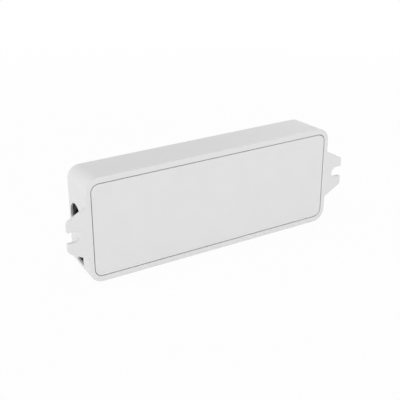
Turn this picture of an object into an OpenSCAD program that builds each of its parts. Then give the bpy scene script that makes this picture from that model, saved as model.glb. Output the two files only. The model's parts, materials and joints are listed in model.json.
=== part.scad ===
// In-line Wi-Fi controller for LED strip, in a moulded housing with two slotted ears.
// It stands on its long narrow side: X runs along it, Y away from its base plate, and Z is up.
// Depths count from the base face, which the plate and the ears are flush with, to the top face.

/* [Housing] */
// Length of the housing without its ears
body_w = 126; // [113:1:180]
// Height of the housing as it stands on its long side
body_h = 48; // [47:1:80]
// Radius of the four corners at the base face
corner_r = 6.3; // [5.4:0.1:8]
// How far each side leans in between the base face and the top face
draft_in = 0.8; // [0.2:0.1:1.2]
// Rounding of the edge round the top face
top_round = 1; // [0.4:0.1:1.4]
// Rounding of the edge round the base face
base_round = 0.3; // [0.1:0.1:0.6]
// Rim between the opening and the long sides
rim_side = 2.6; // [2.3:0.1:3.5]
// Rim between the opening and the ends
rim_end = 2.3; // [2.2:0.1:3.5]
// Radius of the corners of the opening
opening_r = 3.8; // [3:0.1:5]
// Thickness of the top wall
top_wall = 2; // [1.2:0.1:3]
// Free height between the tallest part on the board and the top wall
head_room = 0.5; // [0.5:0.1:6]
// Thickness of the ribs that carry the edge of the base plate
rib_t = 1.2; // [0.8:0.1:2]
// How far those ribs stand out from the wall
rib_out = 0.9; // [0.6:0.1:1.1]
// Number of ribs along each long side
rib_count = 5; // [2:1:7]
// Distance between neighbouring ribs
rib_pitch = 15; // [10:0.5:16]

/* [Mounting ears] */
// How far an ear reaches out from the end of the housing
ear_reach = 8.9; // [8:0.1:14]
// Width of an ear where it leaves the housing
ear_root_w = 23.3; // [18:0.1:30]
// Width of an ear at its outer end
ear_tip_w = 13.8; // [12:0.1:17]
// Thickness of an ear
ear_t = 1.6; // [1.2:0.1:3]
// Rounding of the outer corners of an ear
ear_corner_r = 1.9; // [0.5:0.1:2.2]
// Width of the open slot
slot_w = 5; // [3.5:0.1:5.5]
// Distance from the end of the housing to the closed end of the slot
slot_start = 3.4; // [2.5:0.1:4]
// Rounding of the two corners at the mouth of the slot
slot_lip_r = 0.3; // [0.1:0.1:0.6]

/* [Openings in the left end] */
// Diameter of the round opening in front of the power jack
jack_hole_d = 11.7; // [10:0.1:12.5]
// Wall left round the openings, measured at the jack
port_wall = 1.1; // [1:0.1:1.7]
// Free space between that wall and what stands behind it
port_gap = 0.15; // [0.1:0.05:0.5]
// Height of the jack above the middle of the housing
jack_z = 2.85; // [1.5:0.05:4]
// Height of the strip socket against the middle of the housing
socket_z = -12.9; // [-13.2:0.1:-11.6]
// Width of the window in front of the strip socket
window_w = 10.5; // [10.3:0.1:11.4]
// Size of that window in the direction of depth
window_d = 6.6; // [5:0.1:7]
// Rounding of the window's corners
window_r = 0.4; // [0.2:0.1:1]

/* [Base plate] */
// Thickness of the base plate
plate_t = 2; // [1.4:0.1:3]
// Gap all round the base plate
seam = 0.35; // [0.15:0.05:0.6]
// Diameter of the pegs that hold the plate
peg_d = 3; // [2.4:0.1:3.4]
// Length of a peg
peg_l = 6; // [4:0.5:9]
// Chamfer at the tip of a peg
peg_tip = 0.5; // [0.2:0.1:0.8]
// Radial clearance of a peg in its socket
peg_fit = 0.05; // [0.02:0.01:0.1]
// Distance of the pegs from the ends of the housing
peg_x = 18; // [16.5:0.5:19.5]
// Distance of the pegs from the long edge of the opening
peg_in = 2.6; // [2.2:0.1:2.8]
// Spare depth of a socket past the tip of its peg
socket_spare = 1; // [0.5:0.1:3]

/* [Bosses and screws] */
// Wall of the bosses round their holes
boss_wall = 1.3; // [1:0.1:1.6]
// Diameter of the screws
screw_d = 2.2; // [1.8:0.1:2.5]
// Length of a screw under its head
screw_l = 8; // [5:0.5:10]
// Diameter of a screw's head
screw_head_d = 4; // [3.4:0.1:4.6]
// Height of a screw's head
screw_head_h = 1.3; // [1:0.1:1.8]
// Length of each arm of the cross in the screw's head
screw_cross_l = 2.2; // [1.6:0.1:2.6]
// Width of the cross's arms
screw_cross_w = 0.5; // [0.4:0.1:0.7]
// Depth of the cross
screw_cross_depth = 0.8; // [0.4:0.1:0.9]
// Distance of the end screws from the end of the housing
screw_in = 9.5; // [9:0.1:10.5]
// Distance of the end screws from the middle of the height
screw_z = 14; // [13.5:0.1:15]
// Distance of the inner screw from the left end of the housing
inner_screw_in = 21.5; // [21:0.1:22.5]
// Height of the inner screw against the middle of the housing
inner_screw_z = -8; // [-9:0.1:-7]
// Width across the stiffening ribs at the foot of a boss
gusset_w = 9; // [7:0.5:9.5]
// Height of those ribs above the top wall
gusset_h = 5; // [3:0.5:8]
// Thickness of those ribs
gusset_t = 1; // [0.8:0.1:1.5]

/* [Circuit board] */
// Thickness of the board
board_t = 1.6; // [1:0.1:2]
// Room between the base plate and the board
solder_room = 2.9; // [2.7:0.1:6]
// Gap between the edge of the board and the opening
board_gap = 1.6; // [1.3:0.1:2]
// Radius of the corners of the board
board_r = 1.5; // [0.5:0.1:3]
// Free space round a screw or a lead that goes through the board
hole_fit = 0.15; // [0.1:0.05:0.2]
// Free space between the board and the bosses that pass it
pass_fit = 0.5; // [0.3:0.1:0.8]
// How far the leads stand out below the board
lead_out = 1.3; // [0.8:0.1:1.6]
// Thickness of the copper lands under the board
land_t = 0.1; // [0.05:0.05:0.2]
// Width of a land round its lead
land_ring = 0.5; // [0.3:0.1:0.6]

/* [Power jack] */
// Length of the jack
jack_l = 14.5; // [13:0.5:15]
// Width of the jack
jack_w = 9; // [8.6:0.1:9.4]
// Height of the jack's axis above the board
jack_axis_h = 6.5; // [6:0.1:7]
// Length of the square collar at the jack's mouth
jack_collar_l = 3.8; // [2:0.1:4]
// Height of the collar above the jack's axis
jack_collar_rise = 5.5; // [4.5:0.1:5.5]
// Diameter of the mouth
jack_bore_d = 6.4; // [6:0.1:6.8]
// Depth of the mouth
jack_bore_l = 10; // [9:0.1:10.5]
// Diameter of the centre pin
jack_pin_d = 2; // [1.6:0.1:2.5]
// Diameter of the pin's root, in the back of the jack
jack_root_d = 2.6; // [2.6:0.1:3.2]
// How far the centre pin lies back in the mouth
jack_pin_back = 0.8; // [0.5:0.1:2]
// Thickness of the jack's contacts
contact_t = 0.3; // [0.2:0.05:0.5]
// Width of the jack's contacts
contact_w = 2.4; // [2:0.1:2.8]
// How far the spring contact bulges into the mouth
contact_bulge = 0.5; // [0.3:0.1:0.6]

/* [Strip socket] */
// Number of pins
pin_count = 4; // [3:1:4]
// Distance between neighbouring pins
pin_pitch = 2.54; // [2:0.01:2.54]
// Thickness of a square pin
pin_t = 0.64; // [0.5:0.02:0.8]
// Height of the pins above the board
pin_h = 3.8; // [3.6:0.1:4.2]
// Free length of the pins in front of the socket
pin_reach = 6.6; // [5:0.1:7]
// How far the tips lie back from the inner face of the wall
pin_back = 1; // [0.3:0.1:1.5]
// Thickness of the socket's block
socket_t = 3.2; // [2.5:0.1:3.5]
// Height of the socket above the board
socket_h = 7.4; // [7:0.1:8]
// Thickness of its latch
latch_t = 0.9; // [0.6:0.1:1.1]
// Length of its latch
latch_l = 5.6; // [4:0.1:6]
// Height of the ridge under the end of the latch
latch_ridge = 0.4; // [0.2:0.1:0.5]

/* [Pairing button] */
// Distance from the button to the status light
button_pitch = 9; // [8:0.5:14]
// Diameter of the button
button_d = 6; // [5:0.1:6.5]
// Diameter of the flange that keeps the button in
button_flange_d = 8; // [7.4:0.1:8.5]
// Thickness of that flange
button_flange_t = 1; // [0.8:0.1:1.5]
// Diameter of the button's stem
button_stem_d = 3.6; // [3:0.1:4.5]
// Radial clearance of the button in the top wall
button_fit = 0.08; // [0.04:0.01:0.1]
// Free space round the flange in its guide
guide_fit = 0.3; // [0.3:0.05:0.5]
// Wall of the guide
guide_wall = 1; // [0.8:0.1:1.5]
// Length of the guide
guide_l = 3.5; // [2.5:0.5:6]
// Travel of the button
button_travel = 0.3; // [0.2:0.05:0.5]
// Play between the flange and the wall or the switch cover
button_play = 0.05; // [0.02:0.01:0.1]
// Width of the push switch
switch_w = 6; // [5.8:0.1:6.4]
// Height of the push switch without its plunger
switch_h = 3.5; // [3.3:0.1:4.5]
// Height of the top of the plunger above the board
plunger_h = 5; // [4.9:0.1:9]
// Diameter of the plunger
plunger_d = 3.5; // [3:0.1:3.8]
// Radial clearance of the plunger in the switch cover
plunger_fit = 0.1; // [0.05:0.01:0.1]
// Diameter of the plunger's foot
plunger_foot_d = 4.4; // [4.3:0.1:4.6]
// Diameter of the well in the switch
switch_well_d = 5; // [4.9:0.1:5.2]
// Thickness of the floor of the switch
switch_floor = 1; // [0.6:0.1:1.2]
// Thickness of the switch cover
cover_t = 0.3; // [0.2:0.05:0.4]
// Thickness of the snap dome
dome_t = 0.15; // [0.1:0.05:0.2]
// Width of a leg of the switch
leg_w = 0.7; // [0.5:0.1:1]
// Thickness of a leg of the switch
leg_t = 0.3; // [0.2:0.05:0.4]

/* [Status light] */
// Distance from the light to the Wi-Fi module
light_in = 9.1; // [6.5:0.1:14]
// Diameter of the light guide
guide_rod_d = 3; // [2.4:0.1:3.6]
// Diameter of its collar
guide_collar_d = 4.6; // [4.2:0.1:5.4]
// Thickness of its collar
guide_collar_t = 1; // [0.6:0.1:2]
// Radial clearance of the light guide in the top wall
rod_fit = 0.04; // [0.02:0.01:0.1]
// Gap between the light guide and the lamp
light_gap = 0.3; // [0.2:0.1:0.8]
// Length of the lamp
lamp_l = 3.5; // [3:0.1:4]
// Width of the lamp
lamp_w = 2.8; // [2.4:0.1:3.2]
// Height of the lamp
lamp_h = 1.9; // [1.2:0.1:2.5]
// Diameter of the lens of the lamp
lens_d = 2.2; // [1.8:0.1:2.3]
// Depth of the lens in the lamp
lens_depth = 0.8; // [0.4:0.1:1]

/* [Wi-Fi module] */
// Length of the module
module_l = 24; // [22:0.5:27]
// Width of the module
module_w = 16; // [15:0.5:17]
// Thickness of the module's board
module_t = 0.8; // [0.6:0.1:1.2]
// Distance from the module to the right edge of the board
module_in = 2; // [1:0.5:3]
// Diameter of the half holes along the module's edges
half_hole_d = 0.9; // [0.6:0.1:1.1]
// Distance between neighbouring half holes
half_hole_pitch = 2; // [1.8:0.1:2]
// Number of half holes along each edge
half_hole_count = 8; // [6:1:8]
// Length of the shield
shield_l = 15; // [14.5:0.1:15.5]
// Width of the shield
shield_w = 12.4; // [12:0.1:13]
// Height of the shield
shield_h = 2.3; // [2.2:0.1:3]
// Thickness of the shield
shield_t = 0.2; // [0.15:0.05:0.3]
// Distance from the shield to the module's inner end
shield_in = 0.8; // [0.5:0.1:1]
// Width of the aerial's track
aerial_track = 0.6; // [0.4:0.1:0.8]
// Thickness of the aerial's track
aerial_t = 0.1; // [0.05:0.05:0.2]
// Number of legs in the aerial's meander
aerial_legs = 6; // [4:1:6]
// Distance between neighbouring legs
aerial_pitch = 2; // [1.8:0.1:2.2]
// Free space between the shield and the aerial
aerial_gap = 2.1; // [1:0.1:3]
// Distance from the aerial to the end of the module
aerial_in = 1.1; // [0.5:0.1:1.5]
// Side of the square radio chip
radio_w = 5; // [4:0.1:5.5]
// Height of the radio chip
radio_h = 0.9; // [0.7:0.1:1.2]
// Side of the square memory chip
memory_w = 5.2; // [4.5:0.1:5.4]
// Height of the memory chip
memory_h = 1.7; // [1.4:0.1:1.9]
// Length of the crystal
crystal_l = 3.2; // [2.5:0.1:3.4]
// Width of the crystal
crystal_w = 2.5; // [2:0.1:2.6]
// Height of the crystal
crystal_h = 0.7; // [0.5:0.1:0.9]

/* [Power parts] */
// Distance between neighbouring parts in the power rows
row_pitch = 11; // [10.6:0.1:11.4]
// Distance from the jack to the middle of the first part in the rows
row_in = 15; // [14.6:0.1:15.6]
// Height of the supply row against the middle of the housing
supply_z = 11; // [10.5:0.1:11.5]
// Height of the output capacitor against the middle of the housing
out_cap_z = 0.8; // [-1:0.1:2.5]
// Height of the driver row against the middle of the housing
driver_z = -10; // [-11:0.1:-9]
// Diameter of the input capacitor
in_cap_d = 8; // [6.3:0.1:8.4]
// Height of the input capacitor
in_cap_h = 11.5; // [8:0.5:16]
// Diameter of the output capacitor
out_cap_d = 6.3; // [5:0.1:7]
// Height of the output capacitor
out_cap_h = 7.7; // [5:0.1:11]
// Thickness of a capacitor's sleeve
sleeve_t = 0.15; // [0.1:0.05:0.25]
// How far the sleeve folds in over the end of its can
sleeve_fold = 0.6; // [0.3:0.1:1]
// Depth of the groove rolled into each can
can_groove = 0.4; // [0.2:0.1:0.6]
// Distance between the leads of a capacitor
cap_lead_pitch = 3; // [2.5:0.1:3.5]
// Diameter of the leads of the capacitors and the fuse
lead_d = 0.6; // [0.4:0.1:0.8]
// Side of the square coil
coil_w = 7.3; // [6.8:0.1:8]
// Height of the coil
coil_h = 4.5; // [3.6:0.1:5]
// Rounding of the coil's corners
coil_round = 1; // [0.6:0.1:1.4]
// Bore of the coil's outer ring
coil_bore_d = 6.1; // [5.8:0.1:6.3]
// Air gap between the ring and the core
coil_air = 0.15; // [0.1:0.05:0.25]
// Thickness of the flanges of the core
core_flange = 0.8; // [0.6:0.1:1.1]
// Diameter of the waist of the core
core_waist_d = 3; // [2.4:0.1:3.4]
// How far the winding stays below the rim of the flanges
winding_in = 0.3; // [0.2:0.1:0.5]
// Length of the regulator chip
chip_l = 4.9; // [4.6:0.1:5.2]
// Width of the regulator chip
chip_w = 3.9; // [3.7:0.1:4.1]
// Height of the regulator chip
chip_h = 1.6; // [1.3:0.1:1.8]
// Free height under the regulator chip
chip_lift = 0.15; // [0.1:0.05:0.25]
// Distance between neighbouring leads of the chip
chip_pitch = 1.27; // [1.2:0.01:1.27]
// Width of a driver's case
driver_w = 6.6; // [6.2:0.1:7]
// Length of a driver's case
driver_l = 6.1; // [5.8:0.1:6.5]
// Height of a driver
driver_h = 2.3; // [2:0.1:2.6]
// Thickness of a driver's metal tab
tab_t = 0.5; // [0.4:0.05:0.6]
// Width of a driver's metal tab
tab_w = 5.3; // [4.8:0.1:5.8]
// How far the tab stands out behind the case
tab_out = 1.1; // [0.8:0.1:1.6]
// Width of a driver's outer leads
driver_lead_w = 0.8; // [0.6:0.1:1]
// Distance between a driver's outer leads
driver_lead_pitch = 4.58; // [4.4:0.01:4.7]
// Length of a diode
diode_l = 4.3; // [4:0.1:4.6]
// Width of a diode
diode_w = 2.6; // [2.4:0.1:2.9]
// Height of a diode
diode_h = 2.2; // [1.8:0.1:2.5]
// Thickness of a diode's tabs
diode_tab_t = 0.2; // [0.15:0.05:0.3]
// Width of a diode's tabs
diode_tab_w = 1.4; // [1.2:0.1:1.8]
// Length of the foot of a diode's tab
diode_foot = 1.1; // [0.8:0.1:1.4]
// Diameter of the round fuse
fuse_d = 7.4; // [6.5:0.1:8]
// Thickness of the fuse
fuse_t = 3.1; // [2.6:0.1:3.5]
// Rounding of the rim of the fuse
fuse_rim_r = 1; // [0.5:0.1:1.2]
// Height of the fuse above the board
fuse_lift = 1; // [0.5:0.1:2]
// Distance between the leads of the fuse
fuse_lead_pitch = 5.1; // [4.8:0.1:5.4]
// Distance from the jack to the middle of the fuse
fuse_in = 4.3; // [3.8:0.1:4.6]
// Length of a chip resistor or chip capacitor
bit_l = 2; // [1.6:0.1:2.2]
// Width of a chip resistor or chip capacitor
bit_w = 1.25; // [0.8:0.05:1.3]
// Height of a chip resistor
resistor_h = 0.5; // [0.4:0.05:0.6]
// Height of a chip capacitor
ceramic_h = 0.9; // [0.6:0.1:1.2]
// Length of the metal end of a chip part
bit_end = 0.4; // [0.25:0.05:0.5]

/* [Hidden] */
$fn = 64;
arc_steps = 6;
// Overlap that fuses features of one moulding
weld = 0.4;
// Clearance of small metal parts in their mouldings
press_gap = 0.02;
// Spare length of a cut past the surface that it opens
over = 1;

// Depths of the surfaces, from the base face inwards
board_back = plate_t + solder_room;
board_top = board_back + board_t;
jack_h = jack_axis_h + jack_collar_rise;
tallest_part = max(in_cap_h, out_cap_h, jack_h, socket_h, fuse_lift + fuse_d);
inner_top = board_top + tallest_part + head_room;
body_d = inner_top + top_wall;
jack_depth = board_top + jack_axis_h;
window_depth = board_top + pin_h;

// Outlines seen from the base side
end_x = body_w / 2;
opening_w = body_w - 2 * rim_end;
opening_h = body_h - 2 * rim_side;
board_w = opening_w - 2 * board_gap;
board_h = opening_h - 2 * board_gap;
slot_centre = slot_start + slot_w / 2;

// Bosses: the two that pass the board on each long side, and the four that it is screwed to
peg_z = opening_h / 2 - peg_in;
peg_places = [for (x = [peg_x - end_x, end_x - peg_x], z = [-peg_z, peg_z]) [x, z]];
peg_boss_r = peg_d / 2 + peg_fit + boss_wall;
screw_places = [
    [screw_in - end_x, screw_z],
    [inner_screw_in - end_x, inner_screw_z],
    [end_x - screw_in, screw_z],
    [end_x - screw_in, -screw_z]
];
screw_boss_r = screw_d / 2 + boss_wall;

// Parts at the left end, counted from the inner face of the thinned wall
port_x = draft_in * jack_depth / body_d + port_wall - end_x;
jack_front = port_x + port_gap;
jack_back = jack_front + jack_l;
spring_x = jack_front + jack_collar_l;
spring_l = jack_bore_l - jack_collar_l;
spring_y = jack_axis_h - jack_bore_d / 2;
// The spring contact bulges between these two places, counted from its fixed end
bulge_from = spring_l * 0.2;
bulge_to = spring_l * 0.8;
jack_tail_t = 0.8;
jack_tail_w = 2;
side_tail_w = 1.6;
pin_tip = port_x + pin_back;
socket_front = pin_tip + pin_reach;
socket_back = socket_front + socket_t;
pin_bend = socket_back + pin_t;
socket_w = pin_count * pin_pitch;
pin_places = [for (i = [0:pin_count - 1]) socket_z + (i - (pin_count - 1) / 2) * pin_pitch];

// Rows of power parts, counted from the back of the jack
row_x = [for (i = [0:2]) jack_back + row_in + i * row_pitch];
fuse_x = jack_back + fuse_in;
diode_gap = 1.3;
in_diode_x = row_x[0] - (in_cap_d + diode_w) / 2 - diode_gap;
out_diode_z = supply_z - (chip_w + diode_w) / 2 - 3 * diode_gap;
chip_lead_w = 0.4;
chip_lead_t = 0.2;
chip_lead_l = 1;
driver_foot = 1.2;
driver_lead_l = 2.5;
// How far the coating of the fuse follows its leads up into the disc
coating_in = 2.5;
cap_places = [[row_x[0], supply_z], [row_x[2], out_cap_z]];

// The module hangs over a notch in the board, so that no copper lies under its aerial
notch_gap = 1;
module_x = board_w / 2 - module_in - module_l / 2;
module_left = module_x - module_l / 2;
shield_x = module_left + shield_in + shield_l / 2;
shield_right = shield_x + shield_l / 2;
notch_start = shield_right + notch_gap;
light_x = module_left - light_in;
button_x = light_x - button_pitch;
// Places of the parts under the shield, counted from its middle
under_shield_x = shield_l / 4;
chip_z = -1;
crystal_z = shield_w / 2 - 2.6;

// Heights of the button and its switch above the board
wall_h = inner_top - board_top;
face_h = body_d - board_top;
cover_under = switch_h - cover_t;
foot_top = cover_under - button_play;
foot_low = switch_floor + dome_t + button_travel + button_play;
leg_x = switch_w / 2 - leg_w;
leg_z = switch_w / 2 + leg_t / 2;

// Leads that go through the board: [x, z, size along x, size along z]
round_leads = concat(
    [for (c = cap_places, s = [-1, 1]) [c[0] + s * cap_lead_pitch / 2, c[1], lead_d, lead_d]],
    [for (s = [-1, 1]) [fuse_x, jack_z + s * fuse_lead_pitch / 2, lead_d, lead_d]]
);
flat_leads = concat(
    [for (z = pin_places) [pin_bend + pin_t / 2, z, pin_t, pin_t]],
    [[jack_back + jack_tail_t / 2, jack_z, jack_tail_t, jack_tail_w]],
    [[spring_x + spring_l - contact_t / 2, jack_z, contact_t, contact_w]],
    [[spring_x + side_tail_w / 2, jack_z + jack_bore_d / 2 + contact_t / 2, side_tail_w, contact_t]],
    [for (sx = [-1, 1], sz = [-1, 1]) [button_x + sx * leg_x, sz * leg_z, leg_w, leg_t]]
);
lead_low = -board_t - lead_out;

// Small chip parts: [x, z, turned across the board]
bit_gap = 1.5;
bit_pitch = 4;
bit_column_x = (light_x + lamp_l / 2 + module_left) / 2;
resistor_places = concat(
    [for (i = [0:2], s = [-1, 1]) [row_x[i] + row_pitch / 2, driver_z + s * bit_gap, true]],
    [for (i = [-1:1]) [bit_column_x, i * bit_pitch, false]],
    [[light_x, -(lamp_w + bit_w) / 2 - 2 * bit_gap, false]]
);
ceramic_places = concat(
    [for (i = [1:2]) [row_x[i], supply_z + coil_w / 2 + bit_gap, false]],
    [for (s = [-1, 1]) [bit_column_x, s * 2 * bit_pitch, false]],
    [[button_x, (switch_w + bit_w) / 2 + 2 * bit_gap, false]]
);

// Puts a child at a depth from the base face, at a place counted from the middle of the face
module at_depth(depth, x = 0, z = 0) {
    translate([x, depth - body_d / 2, body_h / 2 + z]) children();
}

// Puts a child on the board's parts side, where Y counts as height above the board
module on_board(x = 0, z = 0) {
    at_depth(board_top, x, z) children();
}

// Extrudes an outline, drawn as seen from the base side, away from the viewer
module deepen(length) {
    translate([0, length, 0]) rotate([90, 0, 0]) linear_extrude(length) children();
}

// A round post that runs away from the viewer, with another radius at its far end if one is given
module post(r, from, to, far_r = -1) {
    translate([0, to, 0]) rotate([90, 0, 0]) cylinder(h = to - from, r1 = far_r < 0 ? r : far_r, r2 = r);
}

// A round rod along the housing
module rod(r, from, to) {
    translate([from, 0, 0]) rotate([0, 90, 0]) cylinder(h = to - from, r = r);
}

// A block between its lowest and highest corners
module block(low, high) {
    translate(low) cube(high - low);
}

// A flat rectangle with round corners
module rounded_rect(w, h, r) {
    square([w - 2 * r, h], center = true);
    square([w, h - 2 * r], center = true);
    for (sx = [-1, 1], sy = [-1, 1])
        translate([sx * (w / 2 - r), sy * (h / 2 - r)]) circle(r);
}

function arc(centre, r, from, to) =
    [for (i = [0:arc_steps]) let (a = from + (to - from) * i / arc_steps) centre + r * [cos(a), sin(a)]];

function unit(v) = v / norm(v);

// One corner of an outline given as points [x, y, rounding]
function corner(points, i) =
    let (n = len(points),
         here = [points[i][0], points[i][1]],
         last = points[(i + n - 1) % n],
         next = points[(i + 1) % n],
         to_last = unit([last[0], last[1]] - here),
         to_next = unit([next[0], next[1]] - here),
         half = acos(to_last * to_next) / 2,
         r = points[i][2],
         centre = here + unit(to_last + to_next) * r / sin(half),
         start = here + to_last * r / tan(half) - centre,
         end = here + to_next * r / tan(half) - centre,
         from = atan2(start[1], start[0]),
         swing = atan2(end[1], end[0]) - from,
         turn = swing > 180 ? swing - 360 : swing < -180 ? swing + 360 : swing)
    r == 0 ? [here] : arc(centre, r, from, from + turn);

// An outline given as points [x, y, rounding]
module rounded_outline(points) {
    polygon([for (i = [0:len(points) - 1]) each corner(points, i)]);
}

// Half of the housing's section, from the base face to the top face: [reach from the middle, depth]
function side_points(reach) = concat(
    arc([reach - base_round, base_round], base_round, -90, 0),
    arc([reach - draft_in - top_round, body_d - top_round], top_round, 0, 90)
);

// The whole section, for a side that lies this far from the middle
module section(reach) {
    right = side_points(reach);
    last = len(right) - 1;
    polygon(concat(right, [for (i = [0:last]) [-right[last - i][0], right[last - i][1]]]));
}

// The outer form: two drafted bars that cross, and a drafted round at each corner
module drafted_block() {
    straight_w = body_w - 2 * corner_r;
    straight_h = body_h - 2 * corner_r;
    at_depth(0) {
        linear_extrude(straight_h, center = true) section(body_w / 2);
        rotate([0, -90, 0]) linear_extrude(straight_w, center = true) section(body_h / 2);
        for (sx = [-1, 1], sz = [-1, 1])
            translate([sx * straight_w / 2, 0, sz * straight_h / 2]) rotate([-90, 0, 0])
                rotate_extrude() polygon(concat([[0, 0]], side_points(corner_r), [[0, body_d]]));
    }
}

// The right ear, counted from the end of the housing; its root runs into the rim
module ear() {
    root = -rim_end / 2;
    half = [ear_root_w, ear_tip_w, slot_w] / 2;
    at_depth(0, end_x) deepen(ear_t) difference() {
        rounded_outline([
            [root, -half[0], 0],
            [0, -half[0], 0],
            [ear_reach, -half[1], ear_corner_r],
            [ear_reach, -half[2], slot_lip_r],
            [slot_centre, -half[2], 0],
            [slot_centre, half[2], 0],
            [ear_reach, half[2], slot_lip_r],
            [ear_reach, half[1], ear_corner_r],
            [0, half[0], 0],
            [root, half[0], 0]
        ]);
        translate([slot_centre, 0]) circle(half[2]);
    }
}

// The room inside, with the wall thinned where the openings are
module housing_room() {
    at_depth(-over) deepen(inner_top + over) rounded_rect(opening_w, opening_h, opening_r);
    at_depth(0) block(
        [port_x, plate_t, socket_z - window_w / 2 - over],
        [opening_r - opening_w / 2, inner_top, jack_z + jack_hole_d / 2 + over]
    );
}

// Ribs along the long walls that the base plate's edge lies on
module plate_ribs() {
    rib_face = opening_h / 2 - rib_out;
    for (i = [0:rib_count - 1], side = [0, 1]) {
        x = (i - (rib_count - 1) / 2) * rib_pitch;
        at_depth(0) mirror([0, 0, side])
            block([x - rib_t / 2, plate_t, rib_face], [x + rib_t / 2, inner_top + weld, opening_h / 2 + weld]);
    }
}

// Bosses for the pegs, bosses with ribs at their feet for the screws, and the guide round the button
module housing_bosses() {
    for (p = peg_places)
        at_depth(0, p[0], p[1]) post(peg_boss_r, plate_t, inner_top + weld);
    for (p = screw_places)
        at_depth(0, p[0], p[1]) {
            post(screw_boss_r, board_top, inner_top + weld);
            for (size = [[gusset_w, gusset_t], [gusset_t, gusset_w]])
                block(
                    [-size[0] / 2, inner_top - gusset_h, -size[1] / 2],
                    [size[0] / 2, inner_top + weld, size[1] / 2]
                );
        }
    at_depth(0, button_x)
        post(button_flange_d / 2 + guide_fit + guide_wall, inner_top - guide_l, inner_top + weld);
}

// Holes in the bosses and in the top wall
module housing_bores() {
    for (p = peg_places)
        at_depth(0, p[0], p[1]) post(peg_d / 2 + peg_fit, plate_t - over, plate_t + peg_l + socket_spare);
    for (p = screw_places)
        at_depth(0, p[0], p[1]) post(screw_d / 2 + press_gap, board_top - over, board_back + screw_l + socket_spare);
    at_depth(0, button_x) {
        post(button_flange_d / 2 + guide_fit, inner_top - guide_l - over, inner_top);
        post(button_d / 2 + button_fit, inner_top - over, body_d + over);
    }
    at_depth(0, light_x) post(guide_rod_d / 2 + rod_fit, inner_top - over, body_d + over);
}

// The round and the square opening in the left end
module housing_ports() {
    at_depth(jack_depth, 0, jack_z) rod(jack_hole_d / 2, -end_x - over, port_x + over);
    at_depth(window_depth, -end_x - over, socket_z) rotate([0, 90, 0])
        linear_extrude(port_x + end_x + 2 * over) rounded_rect(window_w, window_d, window_r);
}

module housing_shell() {
    color([0.87, 0.87, 0.87]) difference() {
        union() {
            difference() {
                union() {
                    drafted_block();
                    ear();
                    mirror([1, 0, 0]) ear();
                }
                housing_room();
            }
            plate_ribs();
            housing_bosses();
        }
        housing_bores();
        housing_ports();
    }
}

module base_plate() {
    color([0.88, 0.88, 0.88]) {
        at_depth(0) deepen(plate_t) rounded_rect(opening_w - 2 * seam, opening_h - 2 * seam, opening_r - seam);
        for (p = peg_places)
            at_depth(0, p[0], p[1]) {
                post(peg_d / 2, plate_t - weld, plate_t + peg_l - peg_tip);
                post(peg_d / 2, plate_t + peg_l - peg_tip, plate_t + peg_l, peg_d / 2 - peg_tip);
            }
    }
}

// The stem stands on the plunger, the flange stops under the top wall, and the head is flush with it
module button_cap() {
    color([0.85, 0.85, 0.85]) on_board(button_x) {
        post(button_stem_d / 2, plunger_h, wall_h);
        post(button_flange_d / 2, wall_h - button_play - button_flange_t, wall_h - button_play);
        post(button_d / 2, wall_h - button_play - weld, face_h);
    }
}

module light_guide() {
    color([0.9, 0.95, 1, 0.5]) on_board(light_x) {
        post(guide_rod_d / 2, lamp_h + light_gap, face_h);
        post(guide_collar_d / 2, wall_h - guide_collar_t, wall_h);
    }
}

module board_screws() {
    head_low = board_back - screw_head_h;
    color("silver") for (p = screw_places)
        at_depth(0, p[0], p[1]) difference() {
            union() {
                post(screw_head_d / 2, head_low, board_back);
                post(screw_d / 2, board_back - weld, board_back + screw_l);
            }
            for (size = [[screw_cross_l, screw_cross_w], [screw_cross_w, screw_cross_l]])
                block(
                    [-size[0] / 2, head_low - over, -size[1] / 2],
                    [size[0] / 2, head_low + screw_cross_depth, size[1] / 2]
                );
        }
}

// Holes for the leads, each with free space round it
module lead_holes(spare) {
    for (p = round_leads)
        translate([p[0], p[1]]) circle(p[2] / 2 + spare);
    for (p = flat_leads)
        translate([p[0], p[1]]) square([p[2] + 2 * spare, p[3] + 2 * spare], center = true);
}

module circuit_board() {
    color([0.09, 0.35, 0.2]) at_depth(board_back) deepen(board_t) difference() {
        rounded_rect(board_w, board_h, board_r);
        for (p = peg_places)
            translate(p) {
                circle(peg_boss_r + pass_fit);
                translate([0, sign(p[1]) * board_h / 2])
                    square([2 * (peg_boss_r + pass_fit), board_h], center = true);
            }
        for (p = screw_places)
            translate(p) circle(screw_d / 2 + hole_fit);
        lead_holes(hole_fit);
        translate([notch_start, -module_w / 2 - pass_fit]) square([board_w, module_w + 2 * pass_fit]);
    }
}

// Copper lands round the leads, on the side that faces the base plate
module solder_lands() {
    color([0.8, 0.8, 0.78]) at_depth(board_back - land_t) deepen(land_t) difference() {
        lead_holes(hole_fit + land_ring);
        lead_holes(hole_fit);
    }
}

// Both jack contacts are drawn here, grown by a clearance where the jack's housing makes room for them
module spring_form(spare) {
    on_board(spring_x, jack_z) {
        translate([0, spring_y - contact_t, 0]) linear_extrude(contact_w + 2 * spare, center = true) polygon([
            [-spare, -spare],
            [spring_l + spare, -spare],
            [spring_l + spare, contact_t],
            [bulge_to, contact_t],
            [(bulge_from + bulge_to) / 2, contact_t + contact_bulge],
            [bulge_from, contact_t],
            [-spare, contact_t]
        ]);
        block(
            [spring_l - contact_t - spare, lead_low, -contact_w / 2 - spare],
            [spring_l + spare, spring_y, contact_w / 2 + spare]
        );
    }
}

module side_contact_form(spare) {
    on_board(spring_x, jack_z + jack_bore_d / 2) {
        block(
            [-spare, jack_axis_h - contact_w / 2 - spare, -spare],
            [spring_l + spare, jack_axis_h + contact_w / 2 + spare, contact_t + spare]
        );
        block(
            [-spare, lead_low, -spare],
            [side_tail_w + spare, jack_axis_h + contact_w / 2 + spare, contact_t + spare]
        );
    }
}

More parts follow.
